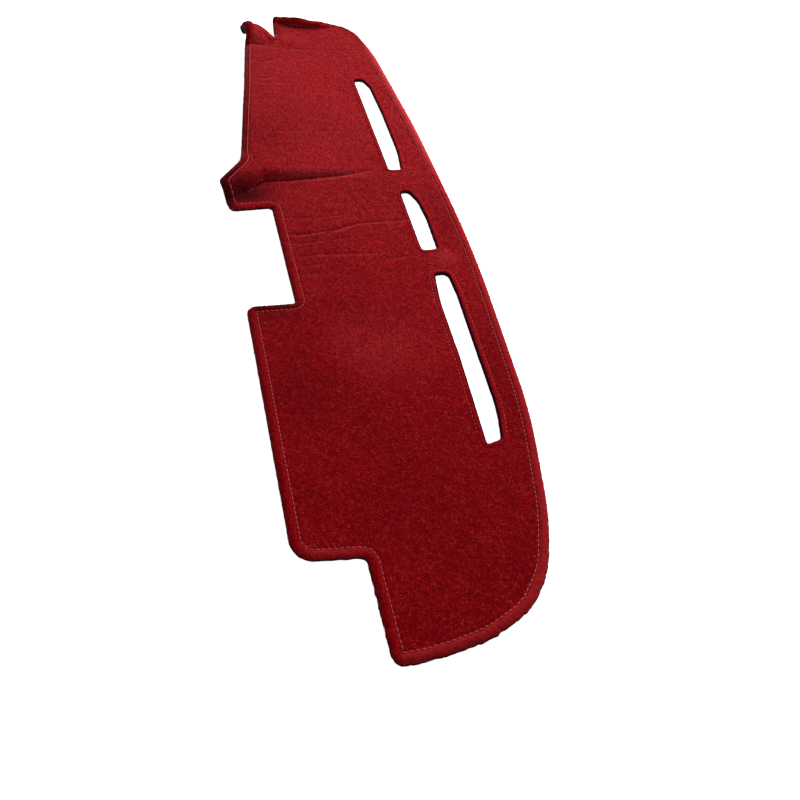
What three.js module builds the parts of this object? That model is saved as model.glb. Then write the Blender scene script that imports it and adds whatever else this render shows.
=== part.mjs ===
import * as THREE from 'three';

// Dashboard cover mat: one sheet of tufted carpet with a bonded backing, cut with three vent slots,
// turned under and stitched round every edge, and shaped by two darts over the instrument hood.
// It lies on a flat surface as it comes to rest, with the hood raised and the driver's end curled.
// Millimetres, +Z up. "Along" runs from the driver's end to the passenger's end and "across" runs
// toward the windscreen, both measured on the flat cut sheet from the middle of the centre slot.

// The sheet and its hem
const carpetThickness = 6;
const hemThickness = 8.6;
const slotHemThickness = 7;
const stitchInset = 14;
const slotStitchInset = 9.5;
const grooveWidth = 5;
const grooveDepth = 3.6;
const turnedWidth = 19;
const turnedGap = 1;
const edgeRound = 4.5;

// Outline of the flat cut
const passengerEnd = 742;
const passengerFront = 311;
const passengerStart = 169;
const doorStepAt = 597;
const doorStepSlant = 10;
const doorFront = 226;
const centreFront = 238;
const earStart = -61;
const earFront = 317;
const earEnd = -119;
const windscreenReach = 70;
const windscreenTurn = 430;
const driverReach = 28;
const driverEnd = -687;
const gloveBoxRadius = 32;
const cornerRadius = 20;
const smallRadius = 8;

// Vent slots
const slotWidth = 25;
const driverSlotStart = -452;
const driverSlotEnd = -146;
const centreSlotHalf = 78;
const passengerSlotStart = 139;
const passengerSlotEnd = 473;
const passengerSlotFall = 19;
const slotCorner = 4;

// Raised hood between the two darts
const hoodRise = 30;
const hoodPeakAt = -340;
const hoodStepHeight = 20;
const hoodStepRun = 12;
const hoodStepAt = -143;
const hoodFoldHeight = 9;
const hoodBack = -15;
const hoodFront = -250;
const hoodHemDrop = 8;
const hoodHemWidth = 18;
const hoodCornerAt = earEnd - 53;

// Curled driver's end, in two flaps parted by a cut
const foldFrontAt = -597;
const foldBackAt = -578;
const cutAcross = -155;
const cutEnd = -613;
const cutWidth = 4;
const curlAngle = 58;
const curlFall = -80;
const curlArc = 40;
const curlRun = 30;
const flapTip = 210;
const floorGap = 1;
const bumpHeight = 10;
const bumpLength = 58;
const lipAngle = 80;
const lipBendLength = 17;
const lipLength = 26;

// Facets
const flatStep = 27;
const shapedStep = 10;
const arcStep = Math.PI / 8;
const walkSteps = 24;

const carpetColour = 0x8c1420;

const clamp = THREE.MathUtils.clamp;
const mix = THREE.MathUtils.lerp;
const radians = THREE.MathUtils.degToRad;

function ease(from, to, value) {
  const t = clamp((value - from) / (to - from), 0, 1);
  return t * t * (3 - 2 * t);
}

// Height of a broken line through [place, value] points, level beyond its ends
function along(line, place) {
  const next = line.findIndex(([at]) => at > place);
  if (next === 0) return line[0][1];
  if (next < 0) return line[line.length - 1][1];
  const [a, b] = [line[next - 1], line[next]];
  return mix(a[1], b[1], (place - a[0]) / (b[0] - a[0]));
}

// Lines on the flat sheet, as [across, along] points
const foldLine = [
  [-215, foldFrontAt],
  [-60, foldBackAt],
];
const stepTopLine = [
  [-earFront, earEnd + 7],
  [hoodFront + 5, hoodStepAt],
  [-42, hoodStepAt - 6],
];
const stepRunLine = [
  [-earFront, hoodStepRun + 22],
  [hoodFront + 5, hoodStepRun],
  [-42, hoodStepRun - 4],
];
const hoodEdgeLine = [
  [foldFrontAt - 12, -216],
  [hoodPeakAt - 60, -243],
  [hoodCornerAt - 3, -276],
];
const lipLine = [
  [cutAcross - 5, driverEnd - 37 + lipLength - 2],
  [cutAcross + 25, driverEnd - 27 + lipLength - 7],
  [cutAcross + 64, driverEnd + 17],
  [cutAcross + 106, driverEnd + 24],
  [0, driverEnd + 11],
  [40, driverEnd - 3],
];
const lipAngleLine = [
  [-20, lipAngle],
  [5, lipAngle / 3],
  [30, lipAngle / 4],
  [45, 0],
];
const bumpLine = [
  [cutAcross, bumpHeight],
  [cutAcross + 25, bumpHeight / 2],
  [cutAcross + 55, bumpHeight / 5],
  [cutAcross + 95, 0],
];

const curlRunLine = [
  [-flapTip, curlRun],
  [cutAcross - 21, curlRun * 0.56],
  [cutAcross, curlRun * 0.25],
];
const curlStrengthLine = [
  [-flapTip, 1],
  [cutAcross - 21, 0.8],
  [cutAcross, 0.55],
];

function foldAt(across) {
  const [front, back] = foldLine;
  return mix(front[1], back[1], (across - front[0]) / (back[0] - front[0]));
}

// Height of the underside over the raised hood, with the step down to the centre
function hoodHeight(u, v) {
  const rise = mix(hoodStepHeight, hoodRise, ease(hoodStepAt, hoodPeakAt, u));
  const far = clamp((hoodPeakAt - u) / (hoodPeakAt - foldFrontAt), 0, 1);
  const fall = mix(hoodFoldHeight, hoodRise, Math.cos(far * Math.PI / 2));
  const crown = u > hoodPeakAt ? rise : fall;
  const step = 1 - ease(0, 1, (u - along(stepTopLine, v)) / along(stepRunLine, v));
  const edge = v - along(hoodEdgeLine, u);
  const toCorner = ease(hoodCornerAt - 28, hoodCornerAt + 2, u);
  const drop = hoodHemDrop * (1 - ease(0, hoodHemWidth, edge)) * (1 - toCorner);
  return Math.max((ease(hoodBack, hoodFront, v) * crown - drop) * step, 0);
}

// Slope of the front flap, in radians, at a distance past the fold: up, over and down behind
function curlSlope(distance, v) {
  const turned = clamp((distance - along(curlRunLine, v)) / curlArc, 0, 1);
  const slope = mix(radians(curlAngle) * ease(0, 4, distance), radians(curlFall), turned);
  return slope * along(curlStrengthLine, v);
}

// Slope of the rear flap where its end turns up into a lip
function lipSlope(u, v) {
  return radians(along(lipAngleLine, v)) * clamp((along(lipLine, v) - u) / lipBendLength, 0, 1);
}

// Underside of the sheet in space, for a place on the flat cut
function underside(u, v) {
  const fold = foldAt(v);
  const distance = Math.max(fold - u, 0);
  const start = Math.max(fold, u);
  const base = hoodHeight(start, v);
  if (distance === 0) return new THREE.Vector3(u, v, base);
  const curled = new THREE.Vector2(start, base);
  const lipped = new THREE.Vector2(start, base * (1 - ease(0, 80, distance)));
  lipped.y += along(bumpLine, v) * ease(0, 16, distance) * (1 - ease(16, bumpLength, distance));
  const stride = distance / walkSteps;
  for (let i = 0; i < walkSteps; i += 1) {
    const walked = (i + 0.5) * stride;
    const curl = curlSlope(walked, v);
    const lip = lipSlope(fold - walked, v);
    curled.add(new THREE.Vector2(-Math.cos(curl), Math.sin(curl)).multiplyScalar(stride));
    lipped.add(new THREE.Vector2(-Math.cos(lip), Math.sin(lip)).multiplyScalar(stride));
  }
  const joined = mix(3, 20, 1 - ease(5, foldFrontAt + 6 - cutEnd, distance));
  const rear = ease(cutAcross - joined, cutAcross + joined, v);
  const place = curled.lerp(lipped, rear);
  return new THREE.Vector3(place.x, v, place.y);
}

// Where the front flap comes back down to the surface behind its curl
function curlEnd(v) {
  let distance = curlArc;
  while (distance < 3 * curlArc && underside(foldAt(v) - distance, v).z > floorGap) distance += 1;
  return foldAt(v) - distance;
}

function facing(u, v) {
  const reach = 0.5;
  const lengthwise = underside(u + reach, v).sub(underside(u - reach, v));
  const crosswise = underside(u, v + reach).sub(underside(u, v - reach));
  return lengthwise.cross(crosswise).normalize();
}

// Corners of the flat cut, each with its radius, from the tip of the front flap
// past the hood, the ear, the centre stack and the glove box to the windscreen edge
const outerCorners = [
  [curlEnd(-flapTip), -flapTip, 10],
  [foldFrontAt - curlRun - curlArc + 4, -flapTip - 16, 20],
  [foldFrontAt - 45, -207, 30],
  [foldFrontAt - 9, -217, 40],
  [hoodPeakAt - 60, -243, 900],
  [hoodCornerAt, -277, 30],
  [earEnd, -earFront - 2, 14],
  [earEnd + 24, -earFront + 2, 60],
  [earStart + 1, -earFront + 10, 11],
  [earStart, -centreFront - 2, smallRadius],
  [passengerStart + 3, -centreFront, 4],
  [passengerStart, -passengerFront, 14],
  [doorStepAt, -passengerFront, gloveBoxRadius],
  [doorStepAt + doorStepSlant, -doorFront, smallRadius],
  [passengerEnd, -doorFront + 1, 15],
  [passengerEnd, -doorFront + 58, 300],
  [passengerEnd - 10, -doorFront + 118, 160],
  [passengerEnd - 33, -doorFront + 172, 90],
  [passengerEnd - 78, -doorFront + 211, 120],
  [doorStepAt - 8, 13, 420],
  [windscreenTurn, windscreenReach - 24, 900],
  [windscreenTurn - 350, windscreenReach + 1, 3000],
  [driverSlotEnd - 114, windscreenReach - 4, 2200],
  [driverSlotStart - 108, windscreenReach - 22, 700],
  [driverEnd + 37, driverReach, 90],
  [driverEnd, 0, 50],
  [driverEnd - 3, -60, 200],
  [driverEnd - 37, cutAcross + 12, 7],
  [cutEnd, cutAcross + cutWidth / 2, 1.5],
  [cutEnd, cutAcross - cutWidth / 2, 1.5],
];

const half = slotWidth / 2;
const slotCorners = [
  [
    [driverSlotStart, -half - 3.5, slotCorner],
    [driverSlotEnd + 1, -half - 4.5, 2],
    [driverSlotEnd + 3, half - 8.5, 2],
    [driverSlotEnd - 54, half - 1.5, 300],
    [driverSlotEnd - 184, half - 0.5, 500],
    [driverSlotStart + 27, half - 3.5, 40],
    [driverSlotStart, half - 12.5, smallRadius],
  ],
  [
    [-centreSlotHalf + 2, -half, slotCorner],
    [centreSlotHalf - 10, -half - 2.5, cornerRadius],
    [centreSlotHalf, -half - 0.5, 2],
    [centreSlotHalf, half - 2.5, slotCorner],
    [0, half + 0.5, 300],
    [-centreSlotHalf + 28, half - 2.5, 60],
    [-centreSlotHalf, half - 12.5, smallRadius],
  ],
  [
    [passengerSlotStart, -half + 2.5, slotCorner],
    [passengerSlotStart + 61, -half - 5.5, 300],
    [passengerSlotStart + 180, -half - 9, 900],
    [passengerSlotEnd - 7, -half - passengerSlotFall + 1, 5],
    [passengerSlotEnd, -half - passengerSlotFall + 1, 2],
    [passengerSlotEnd - 5, half - passengerSlotFall - 4, slotCorner],
    [passengerSlotEnd - 54, half - 12.5, 500],
    [passengerSlotStart + 160, half - 7, 900],
    [passengerSlotStart + 50, half - 1.5, 100],
    [passengerSlotStart + 8, half - 2.5, smallRadius],
    [passengerSlotStart, half - 6.5, smallRadius],
  ],
];

// Closed line through rounded corners, in short steps where the sheet is shaped
function roundedLoop(corners) {
  const arcs = corners.map(([x, y, radius], i) => {
    const corner = new THREE.Vector2(x, y);
    const before = corners[(i + corners.length - 1) % corners.length];
    const after = corners[(i + 1) % corners.length];
    const back = new THREE.Vector2(before[0], before[1]).sub(corner);
    const ahead = new THREE.Vector2(after[0], after[1]).sub(corner);
    const room = 0.499 * Math.min(back.length(), ahead.length());
    back.normalize();
    ahead.normalize();
    const halfAngle = Math.acos(clamp(back.dot(ahead), -1, 1)) / 2;
    const cut = Math.min(radius / Math.tan(halfAngle), room);
    const bend = cut * Math.tan(halfAngle);
    const middle = back.clone().add(ahead).normalize();
    const centre = corner.clone().addScaledVector(middle, Math.hypot(cut, bend));
    const from = back.multiplyScalar(cut).add(corner).sub(centre).angle();
    const to = ahead.multiplyScalar(cut).add(corner).sub(centre).angle();
    const turn = THREE.MathUtils.euclideanModulo(to - from + Math.PI, 2 * Math.PI) - Math.PI;
    const steps = Math.abs(turn) * Math.max(1 / arcStep, bend / stepAt(x, y));
    const pieces = Math.max(1, Math.ceil(steps));
    return Array.from({ length: pieces + 1 }, (_, k) => {
      const angle = from + turn * k / pieces;
      return new THREE.Vector2(Math.cos(angle), Math.sin(angle)).multiplyScalar(bend).add(centre);
    });
  });
  const turned = arcs.flat().filter((p, i, all) => p.distanceTo(all[(i + 1) % all.length]) > 0.01);
  return turned.flatMap((p, i) => {
    const q = turned[(i + 1) % turned.length];
    const middle = p.clone().lerp(q, 0.5);
    const pieces = Math.max(1, Math.ceil(p.distanceTo(q) / stepAt(middle.x, middle.y)));
    return Array.from({ length: pieces }, (_, k) => p.clone().lerp(q, k / pieces));
  });
}

function stepAt(u, v) {
  const ear = u > hoodCornerAt - 40 && u < earStart + 10 && v < hoodFront;
  return u < foldBackAt || ear ? shapedStep : flatStep;
}

// Distance from a place to the nearest edge, in the measure of the outer hem,
// because the hems of the slots are narrower
function edgeDistance(loops, x, y) {
  let nearest = Infinity;
  for (const loop of loops) {
    for (let i = 0; i < loop.length; i += 1) {
      const p = loop[i];
      const q = loop[(i + 1) % loop.length];
      const dx = q.x - p.x;
      const dy = q.y - p.y;
      const t = clamp(((x - p.x) * dx + (y - p.y) * dy) / (dx * dx + dy * dy), 0, 1);
      const away = Math.hypot(x - p.x - t * dx, y - p.y - t * dy);
      nearest = Math.min(nearest, away / loop.hemShare);
    }
  }
  return nearest;
}

function inside(loops, x, y) {
  let crossings = 0;
  for (const loop of loops) {
    for (let i = 0; i < loop.length; i += 1) {
      const p = loop[i];
      const q = loop[(i + 1) % loop.length];
      const crosses = p.y > y !== q.y > y && x < (q.x - p.x) * (y - p.y) / (q.y - p.y) + p.x;
      crossings += crosses ? 1 : 0;
    }
  }
  return crossings % 2 === 1;
}

// Height of the two faces of the sheet above its underside, by distance from the edge
const edgeHeight = hemThickness * 0.4;
const topProfile = [
  [0, edgeHeight],
  [edgeRound * 0.3, hemThickness * 0.66],
  [edgeRound, hemThickness * 0.9],
  [edgeRound * 1.8, hemThickness],
  [stitchInset - grooveWidth / 2, hemThickness - 0.6],
  [stitchInset, hemThickness - grooveDepth],
  [stitchInset + grooveWidth / 2, carpetThickness + 0.5],
  [stitchInset + 2 * grooveWidth, carpetThickness],
];
const slotTopProfile = [
  [0, edgeHeight],
  [edgeRound * 0.3, slotHemThickness * 0.75],
  [edgeRound, slotHemThickness * 0.95],
  [edgeRound * 1.8, slotHemThickness],
  [stitchInset - grooveWidth / 2, slotHemThickness - 0.2],
  [stitchInset, carpetThickness - 0.3],
  [stitchInset + grooveWidth / 2, carpetThickness + 0.2],
  [stitchInset + 2 * grooveWidth, carpetThickness],
];
const bottomProfile = [
  [0, edgeHeight],
  [edgeRound * 0.3, hemThickness * 0.13],
  [edgeRound, 0],
  [turnedWidth, 0],
  [turnedWidth + turnedGap, turnedGap],
  [turnedWidth + 2.5 * turnedGap, 0],
];

// Places for the vertices of one face, and the lines that its facets follow:
// rows along the edges, creases along the shaped lines, then the open field
function placesFor(loops, profile) {
  const places = [];
  const lines = [];
  for (const loop of loops) {
    const line = loop.map((p) => places.push({ x: p.x, y: p.y, height: profile[0][1] }) - 1);
    lines.push([...line, line[0]]);
  }
  const rows = profile.slice(1, profile === topProfile ? -1 : undefined).map(([inset]) => inset);
  for (const loop of loops) {
    for (const inset of rows) {
      const row = [];
      loop.forEach((p, i) => {
        const q = loop[(i + 1) % loop.length];
        const o = loop[(i + loop.length - 1) % loop.length];
        const ahead = q.clone().sub(p).normalize();
        const tangent = ahead.clone().add(p.clone().sub(o).normalize()).normalize();
        const reach = inset * loop.hemShare / Math.max(tangent.dot(ahead), 0.5);
        const x = p.x - tangent.y * reach;
        const y = p.y + tangent.x * reach;
        const last = places[places.length - 1];
        const clear = inside(loops, x, y) && edgeDistance(loops, x, y) > inset - 0.02;
        if (clear && Math.hypot(x - last.x, y - last.y) > 1) row.push(places.push({ x, y }) - 1);
      });
      row.forEach((a, i) => {
        const b = row[(i + 1) % row.length];
        const middle = [(places[a].x + places[b].x) / 2, (places[a].y + places[b].y) / 2];
        if (inside(loops, ...middle) && edgeDistance(loops, ...middle) > inset * 0.6) lines.push([a, b]);
      });
    }
  }
  const innermost = profile[profile.length - 1][0];
  const open = (x, y, room) => inside(loops, x, y) && edgeDistance(loops, x, y) > room;
  const far = (x, y, room) => places.every((p) => Math.hypot(p.x - x, p.y - y) > room);
  const shaped = creaseLines();
  for (const crease of shaped) {
    let line = [];
    for (const [u, v] of crease) {
      if (!open(u, v, rows[rows.length - 1] + 1.5)) {
        lines.push(line);
        line = [];
      } else if (far(u, v, 3)) {
        line.push(places.push({ x: u, y: v }) - 1);
      }
    }
    lines.push(line);
  }
  const row = flatStep * Math.sqrt(3) / 2;
  for (let k = 0; k * row < earFront + windscreenReach; k += 1) {
    const v = windscreenReach - k * row;
    for (let u = driverEnd - 60 + (k % 2) * flatStep / 2; u < passengerEnd; u += flatStep) {
      const clear = open(u, v, innermost + flatStep * 0.35);
      if (clear && far(u, v, flatStep * 0.55)) places.push({ x: u, y: v });
    }
  }
  for (const place of places) {
    const distance = edgeDistance(loops, place.x, place.y);
    const atSlot = distance === edgeDistance(loops.slice(1), place.x, place.y);
    const heights = atSlot && profile === topProfile ? slotTopProfile : profile;
    place.height ??= along(heights, distance);
  }
  return { places, lines };
}

// Lines across the sheet where it bends: the dart of the hood, its fold and the flaps beyond
function creaseLines() {
  const crosswise = [];
  for (let v = -earFront; v < windscreenReach; v += shapedStep) crosswise.push(v);
  const steps = [-0.45, 0, 0.3, 0.65, 1, 1.5].map((share) => crosswise
    .filter((v) => v < -40)
    .map((v) => [along(stepTopLine, v) + share * along(stepRunLine, v), v]));
  const folds = [-6, 0, 4].map((past) => crosswise.map((v) => [foldAt(v) - past, v]));
  for (let past = shapedStep * 1.2; past < foldBackAt - driverEnd + 40; past += shapedStep * 0.8) {
    folds.push(crosswise.map((v) => [foldAt(v) - past, v]));
  }
  return [...folds, ...steps];
}

// Delaunay triangles of the places, with a hair of unevenness so that no four lie on one circle
function triangulate(places) {
  const points = places.map(({ x, y }, i) => [
    x + 0.002 * Math.sin(i * 12.9898),
    y + 0.002 * Math.cos(i * 78.233),
  ]);
  const first = points.length;
  const span = 1e5;
  points.push([-span, -span], [span, -span], [0, span]);
  const circle = (a, b, c) => {
    const [ax, ay] = points[a];
    const bx = points[b][0] - ax;
    const by = points[b][1] - ay;
    const cx = points[c][0] - ax;
    const cy = points[c][1] - ay;
    const d = 2 * (bx * cy - by * cx);
    const x = (cy * (bx * bx + by * by) - by * (cx * cx + cy * cy)) / d;
    const y = (bx * (cx * cx + cy * cy) - cx * (bx * bx + by * by)) / d;
    return { corners: [a, b, c], x: ax + x, y: ay + y, r: x * x + y * y };
  };
  let open = [circle(first, first + 1, first + 2)];
  const done = [];
  const order = [...Array(first).keys()].sort((a, b) => points[a][0] - points[b][0]);
  for (const i of order) {
    const [x, y] = points[i];
    const rim = new Map();
    const kept = [];
    for (const t of open) {
      const dx = x - t.x;
      const dy = y - t.y;
      if (dx > 0 && dx * dx > t.r) {
        done.push(t.corners);
      } else if (dx * dx + dy * dy < t.r) {
        const [a, b, c] = t.corners;
        for (const [p, q] of [[a, b], [b, c], [c, a]]) {
          const back = `${q},${p}`;
          if (rim.has(back)) rim.delete(back);
          else rim.set(`${p},${q}`, [p, q]);
        }
      } else {
        kept.push(t);
      }
    }
    open = kept;
    for (const [p, q] of rim.values()) open.push(circle(p, q, i));
  }
  done.push(...open.map((t) => t.corners));
  return done.filter((corners) => corners.every((i) => i < first));
}

// Turns the facets' sides until they follow each line of places, and keeps what lies inside the edges
function facetsAlong(places, triangles, lines, loops) {
  const side = (p, q) => p * places.length + q;
  const thirds = new Map();
  const hold = (p, q, r) => {
    thirds.set(side(p, q), r);
    thirds.set(side(q, r), p);
    thirds.set(side(r, p), q);
  };
  for (const [p, q, r] of triangles) hold(p, q, r);
  const turn = (p, q, r) => {
    const [a, b, c] = [places[p], places[q], places[r]];
    return (b.x - a.x) * (c.y - a.y) - (b.y - a.y) * (c.x - a.x);
  };
  const crosses = (a, b, p, q) => a !== p && a !== q && b !== p && b !== q
    && turn(a, b, p) * turn(a, b, q) < 0 && turn(p, q, a) * turn(p, q, b) < 0;
  for (const line of lines) {
    for (let i = 0; i + 1 < line.length; i += 1) {
      const [a, b] = [line[i], line[i + 1]];
      if (a === b || thirds.has(side(a, b)) || thirds.has(side(b, a))) continue;
      const queue = [...thirds.keys()]
        .map((key) => [Math.floor(key / places.length), key % places.length])
        .filter(([p, q]) => p < q && crosses(a, b, p, q));
      for (let tries = 0; queue.length > 0 && tries < 200; tries += 1) {
        const [p, q] = queue.shift();
        const r = thirds.get(side(p, q));
        const s = thirds.get(side(q, p));
        if (r === undefined || s === undefined) continue;
        if (turn(r, p, s) > 0.001 && turn(s, q, r) > 0.001) {
          thirds.delete(side(p, q));
          thirds.delete(side(q, p));
          hold(r, p, s);
          hold(s, q, r);
          if (crosses(a, b, r, s)) queue.push([r, s]);
        } else {
          queue.push([p, q]);
        }
      }
    }
  }
  const walls = new Set();
  const open = [];
  let start = 0;
  for (const loop of loops) {
    loop.forEach((_, i) => {
      const [p, q] = [start + i, start + (i + 1) % loop.length];
      walls.add(side(p, q));
      open.push([p, q]);
    });
    start += loop.length;
  }
  const seen = new Set();
  const facets = [];
  while (open.length > 0) {
    const [p, q] = open.pop();
    const r = thirds.get(side(p, q));
    if (r === undefined || seen.has(side(p, q))) continue;
    facets.push([p, q, r]);
    for (const [a, b] of [[p, q], [q, r], [r, p]]) {
      seen.add(side(a, b));
      if (!walls.has(side(a, b))) open.push([b, a]);
    }
  }
  return facets;
}

// One face of the sheet, trimmed to the outline and the slots
function face(loops, profile) {
  const { places, lines } = placesFor(loops, profile);
  return { places, triangles: facetsAlong(places, triangulate(places), lines, loops) };
}

function carpetGeometry() {
  const outer = roundedLoop(outerCorners);
  const slots = slotCorners.map(roundedLoop);
  const loops = [
    THREE.ShapeUtils.area(outer) > 0 ? outer : outer.reverse(),
    ...slots.map((slot) => (THREE.ShapeUtils.area(slot) < 0 ? slot : slot.reverse())),
  ];
  loops.forEach((loop, i) => {
    loop.hemShare = i === 0 ? 1 : slotStitchInset / stitchInset;
  });
  const shared = loops.reduce((sum, loop) => sum + loop.length, 0);
  const positions = [];
  const indices = [];
  const add = ({ x, y, height }) => {
    const point = underside(x, y).addScaledVector(facing(x, y), height);
    positions.push(point.x, point.y, point.z);
    return positions.length / 3 - 1;
  };
  const top = face(loops, topProfile);
  const bottom = face(loops, bottomProfile);
  const upper = top.places.map(add);
  const lower = bottom.places.map((place, i) => (i < shared ? upper[i] : add(place)));
  for (const [a, b, c] of top.triangles) indices.push(upper[a], upper[b], upper[c]);
  for (const [a, b, c] of bottom.triangles) indices.push(lower[a], lower[c], lower[b]);
  const geometry = new THREE.BufferGeometry();
  geometry.setAttribute('position', new THREE.Float32BufferAttribute(positions, 3));
  geometry.setIndex(indices);
  return geometry;
}

function carpetMat() {
  const material = new THREE.MeshStandardMaterial({ color: carpetColour, roughness: 0.95, metalness: 0 });
  const mesh = new THREE.Mesh(carpetGeometry(), material);
  mesh.name = 'carpet_mat';
  return mesh;
}

// The part's origin is under the middle of the mat, on the surface that it lies on
const group = new THREE.Group();
const mat = carpetMat();
mat.geometry.computeBoundingBox();
const box = mat.geometry.boundingBox;
const middle = box.getCenter(new THREE.Vector3());
mat.position.set(-middle.x, -middle.y, -box.min.z);
group.add(mat);

export default group;
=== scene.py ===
import math

import bmesh
import bpy
import numpy as np
from mathutils import Matrix, Vector, geometry, kdtree, noise


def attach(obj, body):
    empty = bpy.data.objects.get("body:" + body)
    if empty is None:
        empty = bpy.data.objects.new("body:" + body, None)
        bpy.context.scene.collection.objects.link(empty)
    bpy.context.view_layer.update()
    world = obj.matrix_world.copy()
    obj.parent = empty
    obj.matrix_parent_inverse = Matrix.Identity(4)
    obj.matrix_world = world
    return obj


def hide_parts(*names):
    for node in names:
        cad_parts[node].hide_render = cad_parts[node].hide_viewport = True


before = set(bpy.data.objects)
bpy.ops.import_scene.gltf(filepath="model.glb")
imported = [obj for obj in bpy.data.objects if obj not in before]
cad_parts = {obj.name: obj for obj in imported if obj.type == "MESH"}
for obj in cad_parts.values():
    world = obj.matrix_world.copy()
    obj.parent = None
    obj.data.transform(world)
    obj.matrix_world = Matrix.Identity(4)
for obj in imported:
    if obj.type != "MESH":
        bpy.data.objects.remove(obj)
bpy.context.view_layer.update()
scene = bpy.context.scene

# camera
cameraView = {
    "lens": 36.0,  # mm
    "sensor": 36.0,
    "place": (1.02369, -0.251605, 0.84298),
    "right": (0.24139, 0.96572, 0.09548),
    "up": (-0.76071, 0.12722, 0.63651),
}


def makeCamera():
    right = Vector(cameraView["right"]).normalized()
    back = right.cross(Vector(cameraView["up"])).normalized()
    up = back.cross(right)
    data = bpy.data.cameras.new("camera")
    data.lens = cameraView["lens"]
    data.sensor_width = cameraView["sensor"]
    camera = bpy.data.objects.new("camera", data)
    turn = Matrix((right, up, back)).transposed().to_4x4()
    camera.matrix_world = Matrix.Translation(cameraView["place"]) @ turn
    scene.collection.objects.link(camera)
    scene.camera = camera


makeCamera()
scene.view_settings.view_transform = "Standard"
print("camera placed")


# shader maths: a wire is one output socket of the node tree it belongs to
class Wire:
    def __init__(self, tree, socket):
        self.tree = tree
        self.socket = socket

    def math(self, operation, a, b):
        return self.tree.node("ShaderNodeMath", {"operation": operation}, {0: a, 1: b})

    def __add__(self, other):
        return self.math("ADD", self, other)

    def __radd__(self, other):
        return self.math("ADD", other, self)

    def __mul__(self, other):
        return self.math("MULTIPLY", self, other)

    def __rmul__(self, other):
        return self.math("MULTIPLY", other, self)


class Tree:
    def __init__(self, name):
        self.material = bpy.data.materials.new(name)
        self.material.use_nodes = True
        self.nodes = self.material.node_tree.nodes
        self.links = self.material.node_tree.links
        self.shader = self.nodes["Principled BSDF"]

    # one node: its type, its settings, the values or wires of its inputs, and the output to take
    def node(self, kind, settings=None, inputs=None, output=0):
        made = self.nodes.new(kind)
        for key, value in (settings or {}).items():
            setattr(made, key, value)
        for key, value in (inputs or {}).items():
            self.feed(made.inputs[key], value)
        return Wire(self, made.outputs[output])

    def feed(self, socket, value):
        if isinstance(value, Wire):
            self.links.new(value.socket, socket)
        elif isinstance(value, tuple) and len(value) == 3 and socket.type == "RGBA":
            socket.default_value = (*value, 1.0)
        else:
            socket.default_value = value

    def mixColours(self, share, first, second):
        return self.node("ShaderNodeMix", {"data_type": "RGBA"}, {0: share, 6: first, 7: second}, 2)

    def place(self):
        return self.node("ShaderNodeTexCoord", output="Object")

    def stored(self, name):
        return self.node("ShaderNodeAttribute", {"attribute_name": name}, output="Fac")

    def noise(self, scale, detail, rough):
        inputs = {"Vector": self.place(), "Scale": scale, "Detail": detail, "Roughness": rough}
        return self.node("ShaderNodeTexNoise", inputs=inputs, output="Fac")

    def bump(self, height, strength, distance):
        inputs = {"Strength": strength, "Distance": distance, "Height": height}
        return self.node("ShaderNodeBump", inputs=inputs, output="Normal")

    def stretch(self, wire, low, high):
        return self.node(
            "ShaderNodeMapRange",
            {"clamp": True},
            {"Value": wire, "From Min": low, "From Max": high},
        )

    def set(self, **values):
        for name, value in values.items():
            self.feed(self.shader.inputs[name.replace("_", " ")], value)
        return self.material


# the sheet, in millimetres: along and across are measured on the flat cut from the middle of the
# centre slot, along toward the passenger's end and across toward the windscreen
sheet = {
    "stitchInset": 14.0,
    "slotStitchInset": 9.5,
    "turned": 19.3,
    "origin": (-16.652, 124.331),  # from the flat cut's zero to the part's own
    "step": 3.2,  # between the points of an edge
    "field": 3.5,  # between the points inside, on top and below
    "backField": 7.5,
    "fieldAlong": (-730.0, 745.0),
    "fieldTop": 74.0,
    "fieldDepth": 400.0,
    "fieldGap": 0.6,  # share of a spacing left free past the last row along an edge
    "rowSlack": 0.12,
    "edgeSplit": 8,
    "even": (-300.0, 500.0),  # from the far end to the near end over this stretch, the painted sheen fades out and the grain grows flatter
}

hood = {
    "rise": 30.0,
    "peakAt": -340.0,
    "stepHeight": 20.0,
    "stepAt": -143.0,
    "foldHeight": 9.0,
    "back": -15.0,
    "front": -250.0,
    "hemDrop": 8.0,
    "hemWidth": 18.0,
    "cornerRun": (-200.0, -170.0),
    "stepTop": [(-317, -112), (-245, -143), (-42, -149)],
    "stepRun": [(-317, 34), (-245, 12), (-42, 8)],
    "edge": [(-609, -216), (-400, -243), (-175, -276)],
}

curl = {
    "foldFront": -597.0,
    "foldBack": -578.0,
    "foldAcross": (-215.0, -60.0),  # where across the mat the fold has those two places
    "cut": -155.0,
    "cutEnd": -613.0,
    "angle": 58.0,
    "fall": -80.0,
    "arc": 40.0,
    "run": [(-210, 30), (-176, 16.8), (-155, 7.5)],
    "strength": [(-210, 1.0), (-176, 0.8), (-155, 0.55)],
    "lipBend": 17.0,
    "lip": [(-160, -700), (-130, -695), (-91, -670), (-49, -663), (0, -676), (40, -690)],
    "lipAngle": [(-20, 80), (5, 80 / 3), (30, 20), (45, 0)],
    "bump": [(-155, 10), (-130, 5), (-100, 2), (-60, 0)],
    "bumpTop": 16.0,
    "bumpEnd": 58.0,
    "settle": 80.0,  # past the fold, to where the rear flap is down
    "bendStart": 4.0,
    "joint": (3.0, 20.0),  # half widths over which the flaps part, at the cut and at the fold
    "jointStart": 5.0,
    "jointPast": 6.0,
    "walk": 24,
}


def ease(low, high, value):
    t = np.clip((value - low) / (high - low), 0.0, 1.0)
    return t * t * (3.0 - 2.0 * t)


def mix(a, b, t):
    return a + (b - a) * t


def along(line, place):
    return np.interp(place, [p[0] for p in line], [p[1] for p in line])


def foldAt(v):
    front, back = curl["foldAcross"]
    return mix(curl["foldFront"], curl["foldBack"], (v - front) / (back - front))


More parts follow.
